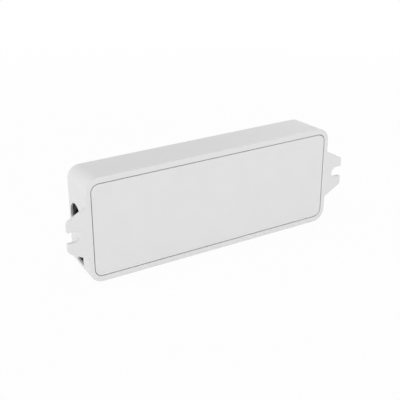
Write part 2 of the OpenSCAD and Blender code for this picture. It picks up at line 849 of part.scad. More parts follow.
module jack_housing() {
    color([0.07, 0.07, 0.07]) difference() {
        on_board(0, jack_z) {
            block([jack_front, 0, -jack_w / 2], [jack_front + jack_collar_l, jack_h, jack_w / 2]);
            block([jack_front, 0, -jack_w / 2], [jack_back, jack_axis_h, jack_w / 2]);
            translate([0, jack_axis_h, 0]) rod(jack_w / 2, jack_front, jack_back);
        }
        on_board(0, jack_z) translate([0, jack_axis_h, 0]) {
            rod(jack_bore_d / 2, jack_front - over, jack_front + jack_bore_l);
            rod(jack_root_d / 2 + press_gap, jack_front, jack_back + over);
        }
        spring_form(press_gap);
        side_contact_form(press_gap);
    }
}

module jack_pin() {
    color("silver") on_board(0, jack_z) {
        translate([0, jack_axis_h, 0]) {
            rod(jack_pin_d / 2, jack_front + jack_pin_back, jack_front + jack_bore_l + weld);
            rod(jack_root_d / 2, jack_front + jack_bore_l, jack_back + weld);
        }
        block(
            [jack_back, lead_low, -jack_tail_w / 2],
            [jack_back + jack_tail_t, jack_axis_h + jack_root_d / 2, jack_tail_w / 2]
        );
    }
}

module jack_spring() {
    color("silver") spring_form(0);
}

module jack_side_contact() {
    color("silver") side_contact_form(0);
}

// Horizontal legs of the strip pins
module pins_across(spare, from, to) {
    for (z = pin_places)
        on_board(0, z) block(
            [from, pin_h - pin_t / 2 - spare, -pin_t / 2 - spare],
            [to, pin_h + pin_t / 2 + spare, pin_t / 2 + spare]
        );
}

module strip_socket() {
    latch_w = socket_w - 2 * pin_pitch + pin_t;
    latch_low = socket_h - latch_t;
    latch_x = socket_front - latch_l;
    color([0.07, 0.07, 0.07]) difference() {
        on_board(0, socket_z) {
            block([socket_front, 0, -socket_w / 2], [socket_back, socket_h, socket_w / 2]);
            block([latch_x, latch_low, -latch_w / 2], [socket_front + weld, socket_h, latch_w / 2]);
            block([latch_x, latch_low - latch_ridge, -latch_w / 2], [latch_x + latch_t, socket_h, latch_w / 2]);
        }
        pins_across(press_gap, socket_front - over, socket_back + over);
    }
}

module strip_pins() {
    color([0.85, 0.8, 0.6]) {
        pins_across(0, pin_tip, pin_bend + pin_t);
        for (z = pin_places)
            on_board(pin_bend, z) block([0, lead_low, -pin_t / 2], [pin_t, pin_h, pin_t / 2]);
    }
}

// A coated disc on edge, with the coating run down its two leads
module input_fuse() {
    rim = fuse_d / 2 - fuse_rim_r;
    color([0.9, 0.6, 0.1]) on_board(fuse_x, jack_z) {
        translate([0, fuse_lift + fuse_d / 2, 0]) rotate([0, 90, 0]) rotate_extrude() {
            translate([0, -fuse_t / 2]) square([rim, fuse_t]);
            translate([0, fuse_rim_r - fuse_t / 2]) square([fuse_d / 2, fuse_t - 2 * fuse_rim_r]);
            for (side = [-1, 1])
                translate([rim, side * (fuse_t / 2 - fuse_rim_r)]) intersection() {
                    circle(fuse_rim_r);
                    translate([-fuse_rim_r, -fuse_rim_r]) square(2 * fuse_rim_r);
                }
        }
        for (side = [-1, 1])
            translate([0, 0, side * fuse_lead_pitch / 2]) post(lead_d, fuse_lift / 2, fuse_lift + coating_in);
    }
}

module fuse_leads() {
    color("silver") for (side = [-1, 1])
        on_board(fuse_x, jack_z + side * fuse_lead_pitch / 2) post(lead_d / 2, lead_low, fuse_lift / 2);
}

// Places both diodes: one across the board behind the fuse, one along it beside the regulator
module at_diodes() {
    on_board(in_diode_x, supply_z) rotate([0, 90, 0]) children();
    on_board(row_x[1], out_diode_z) children();
}

module diodes() {
    color([0.12, 0.12, 0.12]) at_diodes()
        block([-diode_l / 2, diode_tab_t, -diode_w / 2], [diode_l / 2, diode_h, diode_w / 2]);
}

module diode_tabs() {
    color("silver") at_diodes() for (side = [0, 1])
        mirror([side, 0, 0]) {
            block(
                [diode_l / 2 - diode_foot, 0, -diode_tab_w / 2],
                [diode_l / 2 + diode_tab_t, diode_tab_t, diode_tab_w / 2]
            );
            block([diode_l / 2, 0, -diode_tab_w / 2], [diode_l / 2 + diode_tab_t, diode_h / 2, diode_tab_w / 2]);
        }
}

// A can with a rolled groove near its foot
module capacitor_can(d, h) {
    r = d / 2 - sleeve_t;
    groove_h = 3 * can_groove;
    post(r, 0, groove_h);
    post(r - can_groove, groove_h - weld, 2 * groove_h + weld);
    post(r, 2 * groove_h, h - sleeve_t);
}

// Its sleeve, folded in over the far end
module capacitor_sleeve(d, h) {
    difference() {
        post(d / 2, 0, h);
        post(d / 2 - sleeve_t, -over, h - sleeve_t);
        post(d / 2 - sleeve_t - sleeve_fold, 0, h + over);
    }
}

module input_capacitor() {
    color([0.75, 0.76, 0.78]) on_board(cap_places[0][0], cap_places[0][1]) capacitor_can(in_cap_d, in_cap_h);
}

module input_sleeve() {
    color([0.1, 0.12, 0.2]) on_board(cap_places[0][0], cap_places[0][1]) capacitor_sleeve(in_cap_d, in_cap_h);
}

module output_capacitor() {
    color([0.75, 0.76, 0.78]) on_board(cap_places[1][0], cap_places[1][1]) capacitor_can(out_cap_d, out_cap_h);
}

module output_sleeve() {
    color([0.1, 0.12, 0.2]) on_board(cap_places[1][0], cap_places[1][1]) capacitor_sleeve(out_cap_d, out_cap_h);
}

module capacitor_leads() {
    color("silver") for (c = cap_places, side = [-1, 1])
        on_board(c[0] + side * cap_lead_pitch / 2, c[1]) post(lead_d / 2, lead_low, 0);
}

module at_coil() {
    on_board(row_x[2], supply_z) children();
}

module coil_ring() {
    half = coil_w / 2;
    color([0.3, 0.3, 0.32]) at_coil() deepen(coil_h) difference() {
        rounded_outline([for (s = [[-1, -1], [1, -1], [1, 1], [-1, 1]]) [s[0] * half, s[1] * half, coil_round]]);
        circle(coil_bore_d / 2);
    }
}

module coil_core() {
    core_r = coil_bore_d / 2 - coil_air;
    color([0.25, 0.25, 0.27]) at_coil() {
        post(core_r, 0, core_flange);
        post(core_waist_d / 2, core_flange - weld, coil_h - core_flange + weld);
        post(core_r, coil_h - core_flange, coil_h);
    }
}

module coil_winding() {
    wound_r = coil_bore_d / 2 - coil_air - winding_in;
    color([0.7, 0.35, 0.15]) at_coil() difference() {
        post(wound_r, core_flange + press_gap, coil_h - core_flange - press_gap);
        post(core_waist_d / 2 + press_gap, 0, coil_h);
    }
}

// A bent lead, drawn in section and as wide as stated: out from the case, down, and flat on the board
module gull_lead(w, t, shoulder_h, reach) {
    out = reach / 2;
    linear_extrude(w, center = true) polygon([
        [0, shoulder_h],
        [out - t, shoulder_h],
        [out - t, 0],
        [reach, 0],
        [reach, t],
        [out, t],
        [out, shoulder_h + t],
        [0, shoulder_h + t]
    ]);
}

module regulator_chip() {
    color([0.08, 0.08, 0.08]) on_board(row_x[1], supply_z)
        block([-chip_l / 2, chip_lift, -chip_w / 2], [chip_l / 2, chip_h, chip_w / 2]);
}

module regulator_leads() {
    color("silver") for (i = [-1.5:1.5], side = [-90, 90])
        on_board(row_x[1] + i * chip_pitch, supply_z) rotate([0, side, 0]) translate([chip_w / 2, 0, 0])
            gull_lead(chip_lead_w, chip_lead_t, chip_h / 2, chip_lead_l);
}

// Case of one of the three transistors that dim the strip's colours
module driver_case(i) {
    color([0.08, 0.08, 0.08]) on_board(row_x[i], driver_z)
        block([-driver_w / 2, tab_t, -driver_l / 2], [driver_w / 2, driver_h, driver_l / 2]);
}

module red_driver() driver_case(0);

module green_driver() driver_case(1);

module blue_driver() driver_case(2);

module driver_tabs() {
    color("silver") for (i = [0:2])
        on_board(row_x[i], driver_z) {
            block([-tab_w / 2, 0, driver_foot - driver_l / 2], [tab_w / 2, tab_t, driver_l / 2 + tab_out]);
            for (side = [-1, 1])
                translate([side * driver_lead_pitch / 2, 0, -driver_l / 2]) rotate([0, 90, 0])
                    gull_lead(driver_lead_w, tab_t, driver_h / 2, driver_lead_l);
        }
}

// Places a small chip part, along or across the board
module at_bit(place) {
    on_board(place[0], place[1]) rotate([0, place[2] ? 90 : 0, 0]) children();
}

module bit_middle(h) {
    block([bit_end - bit_l / 2, 0, -bit_w / 2], [bit_l / 2 - bit_end, h, bit_w / 2]);
}

module bit_ends(h) {
    for (side = [0, 1])
        mirror([side, 0, 0]) block([bit_l / 2 - bit_end, 0, -bit_w / 2], [bit_l / 2, h, bit_w / 2]);
}

module chip_resistors() {
    color([0.1, 0.1, 0.12]) for (p = resistor_places) at_bit(p) bit_middle(resistor_h);
}

module chip_capacitors() {
    color([0.6, 0.45, 0.3]) for (p = ceramic_places) at_bit(p) bit_middle(ceramic_h);
}

module chip_ends() {
    color("silver") {
        for (p = resistor_places) at_bit(p) bit_ends(resistor_h);
        for (p = ceramic_places) at_bit(p) bit_ends(ceramic_h);
    }
}

module wifi_board() {
    color([0.08, 0.15, 0.3]) on_board(module_x) deepen(module_t) difference() {
        square([module_l, module_w], center = true);
        for (i = [0:half_hole_count - 1], side = [-1, 1])
            translate([shield_in + half_hole_pitch * (i + 0.5) - module_l / 2, side * module_w / 2])
                circle(half_hole_d / 2);
    }
}

module wifi_shield() {
    inner = [shield_l - 2 * shield_t, shield_h, shield_w - 2 * shield_t] / 2;
    color([0.75, 0.76, 0.76]) on_board(shield_x) translate([0, module_t, 0]) difference() {
        block([-shield_l / 2, 0, -shield_w / 2], [shield_l / 2, shield_h, shield_w / 2]);
        block([-inner[0], -over, -inner[2]], [inner[0], shield_h - shield_t, inner[2]]);
    }
}

// Puts a child on the module under its shield, counted from the shield's middle
module under_shield(x, z) {
    on_board(shield_x + x, z) translate([0, module_t, 0]) children();
}

module radio_chip() {
    color([0.1, 0.1, 0.1]) under_shield(-under_shield_x, chip_z)
        block([-radio_w / 2, 0, -radio_w / 2], [radio_w / 2, radio_h, radio_w / 2]);
}

module memory_chip() {
    color([0.1, 0.1, 0.1]) under_shield(under_shield_x, chip_z)
        block([-memory_w / 2, 0, -memory_w / 2], [memory_w / 2, memory_h, memory_w / 2]);
}

module crystal() {
    color("silver") under_shield(-under_shield_x, crystal_z)
        block([-crystal_l / 2, 0, -crystal_w / 2], [crystal_l / 2, crystal_h, crystal_w / 2]);
}

// A track that runs to and fro over the free end of the module
module aerial_track_copper() {
    start = shield_right + aerial_gap;
    leg_l = module_left + module_l - aerial_in - start;
    first = -((aerial_legs - 1) * aerial_pitch + aerial_track) / 2;
    color([0.8, 0.6, 0.3]) on_board(start) translate([0, module_t, 0]) deepen(aerial_t) {
        for (i = [0:aerial_legs - 1])
            translate([0, first + i * aerial_pitch]) square([leg_l, aerial_track]);
        for (i = [0:aerial_legs - 2])
            translate([i % 2 == 0 ? leg_l - aerial_track : 0, first + i * aerial_pitch])
                square([aerial_track, aerial_pitch + aerial_track]);
    }
}

module status_lamp() {
    color([0.92, 0.92, 0.88]) on_board(light_x) difference() {
        block([-lamp_l / 2, 0, -lamp_w / 2], [lamp_l / 2, lamp_h, lamp_w / 2]);
        post(lens_d / 2, lamp_h - lens_depth, lamp_h + over);
    }
}

module lamp_lens() {
    color([0.95, 0.9, 0.5, 0.7]) on_board(light_x) post(lens_d / 2 - press_gap, lamp_h - lens_depth, lamp_h);
}

module switch_base() {
    half = switch_w / 2;
    color([0.1, 0.1, 0.1]) on_board(button_x) difference() {
        block([-half, 0, -half], [half, cover_under, half]);
        post(switch_well_d / 2, switch_floor, cover_under + over);
    }
}

module switch_cover() {
    half = switch_w / 2;
    color("silver") on_board(button_x) difference() {
        block([-half, cover_under, -half], [half, switch_h, half]);
        post(plunger_d / 2 + plunger_fit, cover_under - over, switch_h + over);
    }
}

// The dome lies pressed flat, as it does at the end of the travel
module switch_dome() {
    color([0.8, 0.7, 0.45]) on_board(button_x)
        post(plunger_foot_d / 2 - press_gap, switch_floor, switch_floor + dome_t);
}

module switch_legs() {
    color("silver") for (sx = [-1, 1], sz = [-1, 1])
        on_board(button_x + sx * leg_x, sz * leg_z)
            block([-leg_w / 2, lead_low, -leg_t / 2], [leg_w / 2, switch_floor, leg_t / 2]);
}

module switch_plunger() {
    color([0.15, 0.15, 0.15]) on_board(button_x) {
        post(plunger_foot_d / 2, foot_low, foot_top);
        post(plunger_d / 2, foot_top - weld, plunger_h);
    }
}

housing_shell();
base_plate();
button_cap();
light_guide();
board_screws();
circuit_board();
solder_lands();
jack_housing();
jack_pin();
jack_spring();
jack_side_contact();
strip_socket();
strip_pins();
input_fuse();
fuse_leads();
diodes();
diode_tabs();
input_capacitor();
input_sleeve();
output_capacitor();
output_sleeve();
capacitor_leads();
coil_ring();
coil_core();
coil_winding();
regulator_chip();
regulator_leads();
red_driver();
green_driver();
blue_driver();
driver_tabs();
chip_resistors();
chip_capacitors();
chip_ends();
wifi_board();
wifi_shield();
radio_chip();
memory_chip();
crystal();
aerial_track_copper();
status_lamp();
lamp_lens();
switch_base();
switch_cover();
switch_dome();
switch_legs();
switch_plunger();
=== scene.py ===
# Wi-Fi controller for LED strip: finishes, fine detail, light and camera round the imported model
import json
import math
import bmesh
import bpy
from mathutils import Matrix, Vector


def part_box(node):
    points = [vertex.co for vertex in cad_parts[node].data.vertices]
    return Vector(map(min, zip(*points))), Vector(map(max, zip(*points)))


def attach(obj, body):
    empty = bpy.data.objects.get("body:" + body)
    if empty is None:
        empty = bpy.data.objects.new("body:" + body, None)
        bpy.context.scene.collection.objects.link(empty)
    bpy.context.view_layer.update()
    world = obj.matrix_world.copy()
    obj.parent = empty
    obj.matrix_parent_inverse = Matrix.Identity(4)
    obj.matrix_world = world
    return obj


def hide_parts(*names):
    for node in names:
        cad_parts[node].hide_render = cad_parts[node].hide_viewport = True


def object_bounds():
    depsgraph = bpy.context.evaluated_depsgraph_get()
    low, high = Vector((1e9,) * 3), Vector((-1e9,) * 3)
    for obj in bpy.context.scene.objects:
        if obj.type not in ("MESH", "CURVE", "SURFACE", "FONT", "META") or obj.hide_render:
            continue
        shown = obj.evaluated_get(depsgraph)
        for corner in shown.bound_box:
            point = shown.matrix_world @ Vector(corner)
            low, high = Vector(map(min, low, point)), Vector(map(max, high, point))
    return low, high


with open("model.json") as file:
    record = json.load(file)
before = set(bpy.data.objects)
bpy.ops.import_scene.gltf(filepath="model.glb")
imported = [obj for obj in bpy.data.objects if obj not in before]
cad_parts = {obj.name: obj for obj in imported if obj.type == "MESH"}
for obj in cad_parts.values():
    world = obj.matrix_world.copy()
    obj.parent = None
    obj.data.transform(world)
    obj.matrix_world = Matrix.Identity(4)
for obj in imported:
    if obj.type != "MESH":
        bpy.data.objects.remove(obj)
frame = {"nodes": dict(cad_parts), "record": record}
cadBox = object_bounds()
nodes = frame["nodes"]
mm = 0.001
weldReach = 0.0005 * mm  # vertices closer than this are one
print("frame loaded:", len(nodes), "nodes")


# A shader socket that takes part in sums: each operator adds the Math node that it stands for
class Wire:
    def __init__(self, graph, socket):
        self.graph = graph
        self.socket = socket

    def maths(self, operation, first, second):
        return self.graph.node("ShaderNodeMath", {"operation": operation}, {0: first, 1: second})

    def __add__(self, other):
        return self.maths("ADD", self, other)

    def __radd__(self, other):
        return self.maths("ADD", other, self)

    def __sub__(self, other):
        return self.maths("SUBTRACT", self, other)

    def __rsub__(self, other):
        return self.maths("SUBTRACT", other, self)

    def __mul__(self, other):
        return self.maths("MULTIPLY", self, other)

    def __rmul__(self, other):
        return self.maths("MULTIPLY", other, self)

    # Noise that swings evenly about nought, by so much in all
    def swing(self, amount):
        return amount * (self - 0.5)


# The nodes of a material or of the world
class Graph:
    def __init__(self, tree):
        self.tree = tree

    # Any node: its settings first, then the values or links of its sockets
    def node(self, kind, settings=None, sockets=None, out=None):
        made = self.tree.nodes.new(kind)
        for setting, value in (settings or {}).items():
            setattr(made, setting, value)
        taken = [s for s in made.inputs if not s.is_unavailable]
        for key, value in (sockets or {}).items():
            socket = taken[key] if isinstance(key, int) else next(s for s in taken if s.name == key)
            self.feed(socket, value)
        shown = [s for s in made.outputs if not s.is_unavailable]
        return Wire(self, next((s for s in shown if s.name == out), shown[0]))

    def feed(self, socket, value):
        if isinstance(value, Wire):
            self.tree.links.new(value.socket, socket)
        else:
            socket.default_value = value


# One material: its shader's steady values, and the nodes behind those that vary
class Finish(Graph):
    def __init__(self, name, **steady):
        self.material = bpy.data.materials.new(name)
        self.material.use_nodes = True
        super().__init__(self.material.node_tree)
        self.shader = self.tree.nodes["Principled BSDF"]
        for socket, value in steady.items():
            self.shader.inputs[socket.replace("_", " ")].default_value = value

    def vary(self, **sockets):
        for name, value in sockets.items():
            self.feed(self.shader.inputs[name.replace("_", " ")], value)

    # Noise over the piece itself, with a grain given in millimetres
    def noise(self, grain, detail=3, roughness=0.5, stretch=(1, 1, 1)):
        place = self.node("ShaderNodeTexCoord", out="Object")
        scale = [s / (grain * mm) for s in stretch]
        spread = self.node("ShaderNodeMapping", {}, {"Vector": place, "Scale": scale})
        return self.node("ShaderNodeTexNoise", {}, {
            "Vector": spread, "Scale": 1, "Detail": detail, "Roughness": roughness}, out="Fac")

    # A colour that drifts between two shades of itself
    def shades(self, share, colour, darker, lighter):
        return self.node("ShaderNodeMix", {"data_type": "RGBA"}, {
            "Factor": share, "A": shade(colour, darker), "B": shade(colour, lighter)})

    # Relief of a stated height in millimetres
    def relief(self, height, depth):
        self.vary(Normal=self.node("ShaderNodeBump", {}, {
            "Height": height, "Distance": depth * mm, "Strength": 1}))


def shade(colour, factor):
    return [min(1, c * factor) for c in colour[:3]] + [1]


# Moulded plastic: a spark-eroded grain, slow changes of gloss, and hardly any change of colour
def moulding(name, colour, gloss=0.45, grain=0.2, depth=0.012, drift=0.02, sheen=0.5):
    finish = Finish(name, IOR=1.5, Specular_IOR_Level=sheen)
    fine = finish.noise(grain, detail=2)
    slow = finish.noise(9)
    finish.vary(
        Base_Color=finish.shades(slow, colour, darker=1 - drift, lighter=1 + drift),
        Roughness=gloss + slow.swing(0.08) + fine.swing(0.06))
    finish.relief(fine, depth)
    return finish.material


# Plated or tinned metal: fine streaks, dull patches and a faint waviness
def plating(name, colour, gloss=0.3, streak=(1, 1, 1), grain=0.5, depth=0.004):
    finish = Finish(name, Metallic=1)
    lines = finish.noise(grain, detail=4, stretch=streak)
    dull = finish.noise(3, detail=4)
    finish.vary(
        Base_Color=finish.shades(dull, colour, darker=0.62, lighter=0.98),
        Roughness=gloss + dull.swing(0.16) + lines.swing(0.14))
    finish.relief(lines, depth)
    return finish.material


# Solder mask over woven laminate: the weave shows faintly through a glossy film. A thread's width is in
# millimetres, and a wave is waveAtOne long where its scale is one
def solderMask(name, colour, gloss=0.32, thread=0.9, waveAtOne=0.32):
    finish = Finish(name, IOR=1.5, Specular_IOR_Level=0.25)
    place = finish.node("ShaderNodeTexCoord", out="Object")
    weave = 0.5
    for direction in ("X", "Z"):
        wave = finish.node("ShaderNodeTexWave", {"bands_direction": direction}, {
            "Vector": place, "Scale": waveAtOne / (thread * mm), "Distortion": 0.4}, out="Fac")
        weave = weave + wave.swing(0.5)
    film = finish.noise(2.5)
    finish.vary(
        Base_Color=finish.shades(weave, colour, darker=0.94, lighter=1.06),
        Roughness=gloss + film.swing(0.12))
    finish.relief(weave + film, 0.002)
    return finish.material


# A dipped or shrunk skin: glossy, with soft lumps
def skin(name, colour, gloss=0.22, lump=1.2, depth=0.03):
    finish = Finish(name, IOR=1.5)
    lumps = finish.noise(lump, detail=2)
    finish.vary(
        Base_Color=finish.shades(lumps, colour, darker=0.85, lighter=1.1),
        Roughness=gloss + lumps.swing(0.1))
    finish.relief(lumps, depth)
    return finish.material


# Sintered ferrite: coarse, dark and slightly metallic
def sintered(name, colour, gloss=0.55):
    finish = Finish(name, Metallic=0.35)
    pores = finish.noise(0.12, detail=5, roughness=0.7)
    finish.vary(
        Base_Color=finish.shades(pores, colour, darker=0.6, lighter=1.5),
        Roughness=gloss + pores.swing(0.2))
    finish.relief(pores, 0.02)
    return finish.material


# Clear moulding: polished, with a trace of flow marks
def clearMoulding(name, colour, gloss=0.11):
    finish = Finish(name, IOR=1.49, Transmission_Weight=0.85)
    flow = finish.noise(1.5, detail=1)
    finish.vary(
        Base_Color=finish.shades(flow, colour, darker=0.98, lighter=1.02),
        Roughness=gloss + flow.swing(0.06))
    finish.relief(flow, 0.004)
    return finish.material


# Finishes by the record's slot names, each from the colour that the record gives
recordColour = {m["slot"]: m["base_color"] for m in frame["record"]["materials"]}
finishMakers = {
    "housing_plastic": moulding,
    "plate_plastic": moulding,
    "button_plastic": lambda n, c: moulding(n, c, gloss=0.38, grain=0.12),
    "clear_plastic": clearMoulding,
    "screw_steel": lambda n, c: plating(n, c, gloss=0.28, grain=0.25),
    "board_laminate": solderMask,
    "tinned_copper": lambda n, c: plating(n, c, gloss=0.24, grain=0.8, depth=0.01),
    "black_plastic": lambda n, c: moulding(n, c, gloss=0.6, drift=0.1, sheen=0.08),
    "contact_metal": lambda n, c: plating(n, c, gloss=0.16, streak=(0.1, 1, 1), grain=0.2),
    "socket_nylon": lambda n, c: moulding(n, c, gloss=0.5, grain=0.4, depth=0.01, drift=0.1, sheen=0.15),
    "pin_brass": lambda n, c: plating(n, c, gloss=0.2, streak=(0.15, 1, 1), grain=0.2),
    "fuse_coating": skin,
    "chip_epoxy": lambda n, c: moulding(n, c, gloss=0.55, grain=0.09, depth=0.01, drift=0.15),
    "can_aluminium": lambda n, c: plating(n, c, gloss=0.26, streak=(1, 0.08, 1), grain=0.2),
    "capacitor_sleeve": lambda n, c: skin(n, c, gloss=0.16, lump=2.4, depth=0.02),
    "ferrite": sintered,
    "copper_wire": lambda n, c: plating(n, c, gloss=0.2, grain=0.4),
    "resistor_black": lambda n, c: skin(n, c, gloss=0.2, lump=0.4, depth=0.01),
    "ceramic_tan": lambda n, c: skin(n, c, gloss=0.35, lump=0.3, depth=0.008),
    "module_laminate": solderMask,
    "shield_steel": lambda n, c: plating(n, c, gloss=0.27, streak=(0.12, 1, 1), grain=0.3),
    "gold_track": lambda n, c: plating(n, c, gloss=0.22, grain=0.3),
    "lamp_white": lambda n, c: moulding(n, c, gloss=0.3, grain=0.3),
}
finishes = {slot: finishMakers[slot](slot, colour) for slot, colour in recordColour.items()}
for subpart in frame["record"]["subparts"]:
    for materialSlot in nodes[subpart["node"]].material_slots:
        materialSlot.material = finishes[subpart["material_slot"]]
print("finishes made:", len(finishes))


# Edges of the carried-over nodes: how far each is rounded, in millimetres
edges = {
    "housing_shell": 0.1, "base_plate": 0.08, "light_guide": 0.15, "circuit_board": 0.06,
    "solder_lands": 0.03, "jack_housing": 0.2, "jack_pin": 0.3, "jack_spring": 0.06,
    "jack_side_contact": 0.06, "strip_socket": 0.15, "strip_pins": 0.12, "input_fuse": 0.1,
    "fuse_leads": 0.1, "diodes": 0.14, "diode_tabs": 0.05, "capacitor_leads": 0.1, "coil_ring": 0.2,
    "coil_core": 0.12, "regulator_chip": 0.12, "regulator_leads": 0.05, "red_driver": 0.15,
    "green_driver": 0.15, "blue_driver": 0.15, "driver_tabs": 0.08, "chip_resistors": 0.04,
    "chip_capacitors": 0.08, "chip_ends": 0.06, "wifi_board": 0.04, "wifi_shield": 0.15,
    "radio_chip": 0.06, "memory_chip": 0.1, "crystal": 0.12, "aerial_track_copper": 0.02,
    "status_lamp": 0.12, "lamp_lens": 0.08, "switch_base": 0.15, "switch_cover": 0.08,
    "switch_dome": 0.04, "switch_legs": 0.08, "switch_plunger": 0.2,
}


# Keeps the shading of flat faces even beside rounded edges
def evenShading(piece):
    piece.modifiers.new("shading", "WEIGHTED_NORMAL").weight = 80


# Rounds the sharp edges of a node and smooths its shading, without touching its mesh
def soften(piece, width, sharpest=35):
    for attribute in ("custom_normal", "sharp_face", "sharp_edge"):
        if attribute in piece.data.attributes:
            piece.data.attributes.remove(piece.data.attributes[attribute])
    weld = piece.modifiers.new("weld", "WELD")
    weld.merge_threshold = weldReach
    flat = piece.modifiers.new("flat", "DECIMATE")
    flat.decimate_type = "DISSOLVE"
    flat.angle_limit = math.radians(0.3)
    bevel = piece.modifiers.new("edge", "BEVEL")
    bevel.width = width * mm
    bevel.segments = 2
    bevel.limit_method = "ANGLE"
    bevel.angle_limit = math.radians(sharpest)
    bevel.miter_outer = "MITER_ARC"
    evenShading(piece)


for name, width in edges.items():
    soften(nodes[name], width)
print("edges softened:", len(edges))


# Makes an object from a new mesh
def addObject(mesh, name):
    bmesh.ops.recalc_face_normals(mesh, faces=mesh.faces)
    data = bpy.data.meshes.new(name)
    mesh.to_mesh(data)
    mesh.free()
    made = bpy.data.objects.new(name, data)
    bpy.context.scene.collection.objects.link(made)
    return made


# Cuts one object out of another, and applies the cut
def cutOut(piece, cutter):
    cut = piece.modifiers.new("cut", "BOOLEAN")
    cut.object = cutter
    cut.solver = "EXACT"
    bpy.context.view_layer.update()
    solved = piece.evaluated_get(bpy.context.evaluated_depsgraph_get())
    piece.data = bpy.data.meshes.new_from_object(solved)
    piece.modifiers.remove(cut)
    bpy.data.objects.remove(cutter)


# Hands a new mesh over as a piece that rides on a body and stands for a node
def settle(mesh, name, slot, body, node=None, smooth=True, cutter=None):
    piece = addObject(mesh, name)
    piece.data.materials.append(finishes[slot])
    if cutter:
        cutOut(piece, cutter)
    for face in piece.data.polygons:
        face.use_smooth = smooth
    if smooth:
        split = piece.modifiers.new("creases", "EDGE_SPLIT")
        split.split_angle = math.radians(40)
        evenShading(piece)
    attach(piece, body)
    if node:
        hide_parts(node)
    return piece


# Adds a face from corners of which some may be the same vertex
def face(mesh, corners):
    corners = list(dict.fromkeys(corners))
    if len(corners) > 2:
        mesh.faces.new(corners)


# Turns a profile, listed as [radius, height] in millimetres, round an axis that runs inwards from a foot
def turn(mesh, profile, foot, steps=48, ring=False):
    rows = []
    for radius, height in profile:
        count = steps if radius else 1
        angles = [math.tau * i / steps for i in range(count)]
        rows.append([mesh.verts.new(foot + mm * Vector((radius * math.cos(a), height, radius * math.sin(a))))
                     for a in angles])
    for lower, upper in zip(rows, rows[1:] + (rows[:1] if ring else [])):
        for i in range(steps):
            j = (i + 1) % steps
            face(mesh, [lower[i % len(lower)], lower[j % len(lower)],
                        upper[j % len(upper)], upper[i % len(upper)]])


# Joins rings of as many vertices each into a closed tube
def closeTube(mesh, rings):
    for ring, after in zip(rings, rings[1:]):
        for i in range(len(ring)):
            mesh.faces.new([ring[i], ring[i - 1], after[i - 1], after[i]])
    mesh.faces.new(rings[0])
    mesh.faces.new(rings[-1])


# Points of a quarter round in a profile: centre, radius, first and last angle in degrees
def quarter(radius, height, r, first, last, steps=6):
    angles = [math.radians(first + (last - first) * i / steps) for i in range(steps + 1)]
    return [[radius + r * math.cos(a), height + r * math.sin(a)] for a in angles]


# Lowest and highest corners of each separate solid in a node, from left to right
def solidsOf(name):
    mesh = bmesh.new()
    mesh.from_mesh(nodes[name].data)
    bmesh.ops.remove_doubles(mesh, verts=mesh.verts, dist=weldReach)
    left = set(mesh.verts)
    boxes = []
    while left:
        group = [left.pop()]
        for vert in group:
            for edge in vert.link_edges:
                other = edge.other_vert(vert)
                if other in left:
                    left.remove(other)
                    group.append(other)
        places = [vert.co for vert in group]
        boxes.append(tuple(Vector([pick(p[i] for p in places) for i in range(3)]) for pick in (min, max)))
    mesh.free()
    return sorted(boxes, key=lambda box: tuple(round(c, 6) for c in box[0]))


# The middle of a box, at its lowest depth
def footOf(box):
    low, high = box
    return Vector(((low.x + high.x) / 2, low.y, (low.z + high.z) / 2))


# Screws that hold the board: a domed head with a cross, and a rolled thread
screwForm = {"head": 2.0, "headHeight": 1.3, "dome": 0.7, "domeAngle": 64, "rim": 0.12, "neck": 0.25,
             "core": 0.8, "crest": 1.1, "pitch": 0.8, "flanks": (0, 0.4, 0.5, 0.9), "tip": 0.6,
             "cross": {"reach": 1.15, "width": 0.28, "depth": 0.85, "above": 0.3, "foot": 0.5}}


# A cutter with four tapered arms at each foot, from above the face down to its depth
def crossCutter(feet, form):
    mesh = bmesh.new()
    wide = form["width"]
    for foot in feet:
        rings = []
        for share, height in ((1, -form["above"]), (form["foot"], form["depth"])):
            long = form["reach"] * share
            arm = [(wide, wide), (wide, long), (-wide, long)]
            outline = []
            for _ in range(4):
                outline += arm
                arm = [(-z, x) for x, z in arm]
            rings.append([mesh.verts.new(foot + mm * Vector((x, height, z))) for x, z in outline])
        closeTube(mesh, rings)
    return addObject(mesh, "crossCutter")


# A spherical cap from its pole to its rim, as a profile
def domeProfile(radius, height, lastAngle, steps=8):
    angles = [math.radians(lastAngle * i / steps) for i in range(steps + 1)]
    rimSine, rimDrop = math.sin(angles[-1]), 1 - math.cos(angles[-1])
    return [[radius * math.sin(a) / rimSine, height * (1 - math.cos(a)) / rimDrop] for a in angles]


def makeScrews(form):
    mesh = bmesh.new()
    feet = []
    for low, high in solidsOf("board_screws"):
        feet.append(footOf((low, high)))
        length = (high.y - low.y) / mm
        rim = form["rim"]
        profile = domeProfile(form["head"], form["dome"], form["domeAngle"])
        profile += quarter(form["head"] - rim, form["headHeight"] - rim, rim, 0, 90, steps=3)
        profile.append([form["core"], form["headHeight"]])
        place = form["headHeight"] + form["neck"]
        while place + form["pitch"] < length - form["tip"]:
            for part, share in zip(("core", "crest", "crest", "core"), form["flanks"]):
                profile.append([form[part], place + form["pitch"] * share])
            place += form["pitch"]
        profile += [[form["core"], length - form["tip"]], [0, length]]
        turn(mesh, profile, feet[-1])
    cutter = crossCutter(feet, form["cross"])
    settle(mesh, "boardScrewSet", "screw_steel", "housing", "board_screws", cutter=cutter)


# Pairing button: a dished face with a soft rim, a flange under the wall and a stem on the switch
buttonForm = {"stem": 1.8, "stemRim": 0.15, "flange": 4.0, "flangeHeight": 1.0, "flangeRim": 0.1, "head": 3.0,
              "rim": 0.25, "land": 0.15, "dish": 0.22, "dishSteps": 10, "wall": 2.0, "wallGap": 0.05}


